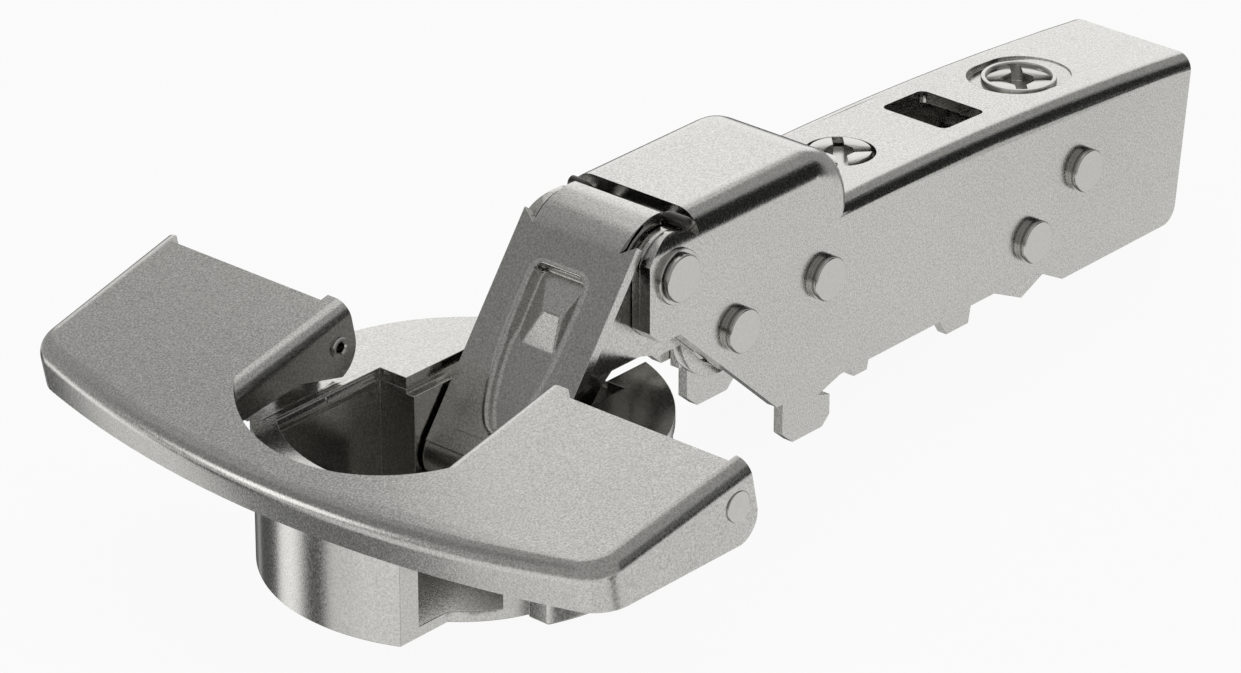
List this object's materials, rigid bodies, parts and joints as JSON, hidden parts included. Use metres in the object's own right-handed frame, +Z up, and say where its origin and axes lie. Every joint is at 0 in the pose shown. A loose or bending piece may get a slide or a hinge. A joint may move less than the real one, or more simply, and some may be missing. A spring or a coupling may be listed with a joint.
{
  "type": "concealed hinge",
  "caption": "Concealed cupboard hinge: a folded clip-on arm, two links and a round cup held in its hole by a crescent flap, standing open at a right angle.",
  "frame": {"origin": "where the cup's axis meets the door's back face, in the plane midway between the arm's walls", "axes": "+X along the arm to its rear, +Y to the left, +Z up, away from the mounting plate; the cup hangs in front with its mouth up"},
  "size_m": [0.1145, 0.0652, 0.0273],
  "materials": {
    "nickel_steel": "satin nickel-plated sheet steel",
    "die_cast_zinc": "nickel-plated die-cast zinc",
    "spring_steel": "bright spring wire"
  },
  "bodies": {
    "arm": {"arm_housing": "nickel_steel", "arm_liner": "nickel_steel", "front_pin": "nickel_steel", "inner_link_pin": "nickel_steel", "spring_pin": "nickel_steel", "carrier_pin": "nickel_steel", "lever_pin": "nickel_steel", "closing_spring": "spring_steel", "cam_ring": "nickel_steel", "lever_spring": "spring_steel"},
    "outer_link": {"outer_link": "nickel_steel"},
    "cup": {"cup_shell": "die_cast_zinc", "cup_flange": "die_cast_zinc", "outer_cup_pin": "nickel_steel", "inner_cup_pin": "nickel_steel"},
    "inner_link": {"inner_link": "nickel_steel"},
    "flap": {"flap_plate": "nickel_steel", "flap_pin_left": "nickel_steel", "flap_pin_right": "nickel_steel"},
    "jaw_left": {"clamp_jaw_left": "die_cast_zinc"},
    "jaw_right": {"clamp_jaw_right": "die_cast_zinc"},
    "overlay_screw": {"overlay_screw": "nickel_steel"},
    "depth_cam": {"depth_cam": "nickel_steel"},
    "carrier": {"carrier": "nickel_steel"},
    "release_lever": {"release_lever": "nickel_steel"}
  },
  "joints": [
    {"name": "door_swing", "type": "hinge", "parent": "outer_link", "child": "cup", "pos_m": [0.0042, 0, -0.0061], "axis": [0, 1, 0], "range_deg": [-5.38, 96.75]},
    {"name": "outer_link_turn", "type": "hinge", "parent": "arm", "child": "outer_link", "pos_m": [0.0188, 0, 0.0089], "axis": [0, 1, 0], "range_deg": [-6.9, 0.5]},
    {"name": "inner_link_turn", "type": "hinge", "parent": "cup", "child": "inner_link", "pos_m": [0.0072, 0, -0.0026], "axis": [0, 1, 0], "range_deg": [-114, 6.5]},
    {"name": "flap_lift", "type": "hinge", "parent": "cup", "child": "flap", "pos_m": [-0.00315, 0, 0.0045], "axis": [0, 1, 0], "range_deg": [0, 30]},
    {"name": "jaw_left_slide", "type": "slide", "parent": "cup", "child": "jaw_left", "axis": [0, -1, 0], "range_m": [0, 0.0011]},
    {"name": "jaw_right_slide", "type": "slide", "parent": "cup", "child": "jaw_right", "axis": [0, 1, 0], "range_m": [0, 0.0011]},
    {"name": "overlay_screw_turn", "type": "hinge", "parent": "arm", "child": "overlay_screw", "pos_m": [0.0489, 0, 0.0069], "axis": [0, 0, 1], "range_deg": [-180, 180]},
    {"name": "carrier_tilt", "type": "hinge", "parent": "arm", "child": "carrier", "pos_m": [0.06745, 0, -0.00495], "axis": [0, 1, 0], "range_deg": [-1.25, 1.25]},
    {"name": "depth_cam_turn", "type": "hinge", "parent": "arm", "child": "depth_cam", "pos_m": [0.0743, 0, 0.0059], "axis": [0, 0, 1], "range_deg": [-90, 90]},
    {"name": "lever_press", "type": "hinge", "parent": "arm", "child": "release_lever", "pos_m": [0.0747, 0, -0.0004], "axis": [0, 1, 0], "range_deg": [-8, 0], "stiffness_Nm_per_rad": 0.03, "springref_deg": 6.88, "deforming": ["lever_spring"]}
  ],
  "couplings": [
    {"joint": "outer_link_turn", "follows": "door_swing", "ratio": -0.06977},
    {"joint": "inner_link_turn", "follows": "door_swing", "ratio": -1.1721},
    {"joint": "jaw_left_slide", "follows": "flap_lift", "m_per_rad": 0.00191},
    {"joint": "jaw_right_slide", "follows": "flap_lift", "m_per_rad": 0.00191},
    {"joint": "carrier_tilt", "follows": "overlay_screw_turn", "ratio": 0.00667}
  ]
}
